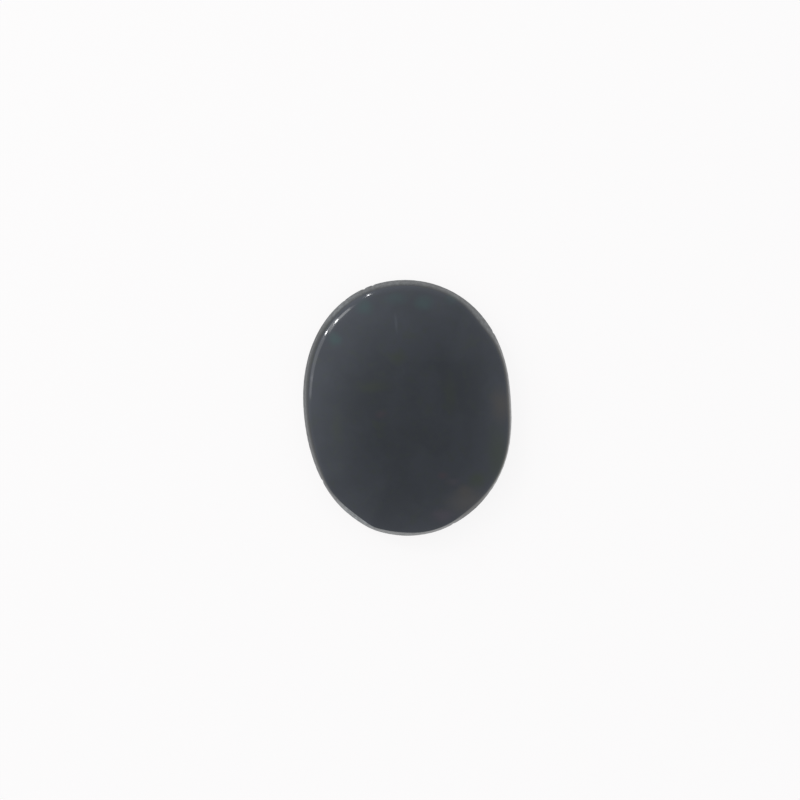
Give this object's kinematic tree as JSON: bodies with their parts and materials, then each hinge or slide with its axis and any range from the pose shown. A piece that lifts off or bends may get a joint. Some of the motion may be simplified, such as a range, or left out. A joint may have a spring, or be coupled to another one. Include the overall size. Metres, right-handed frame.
{
  "type": "bloodstone cabochon",
  "caption": "Oval bloodstone cabochon with a low polished dome, rounded shoulder, leaning girdle wall and bevelled flat back, for a bezel setting or a collection.",
  "frame": {"origin": "middle of the stone's footprint, on the flat back that it rests on", "axes": "+Z out of the dome, +Y along the oval's long axis, +X across it"},
  "size_m": [0.0138, 0.017, 0.003],
  "materials": {
    "polished_bloodstone": "polished, very dark green-black with faint moss green and rust brown patches"
  },
  "bodies": {
    "root": {"cabochon": "polished_bloodstone"}
  },
  "joints": []
}
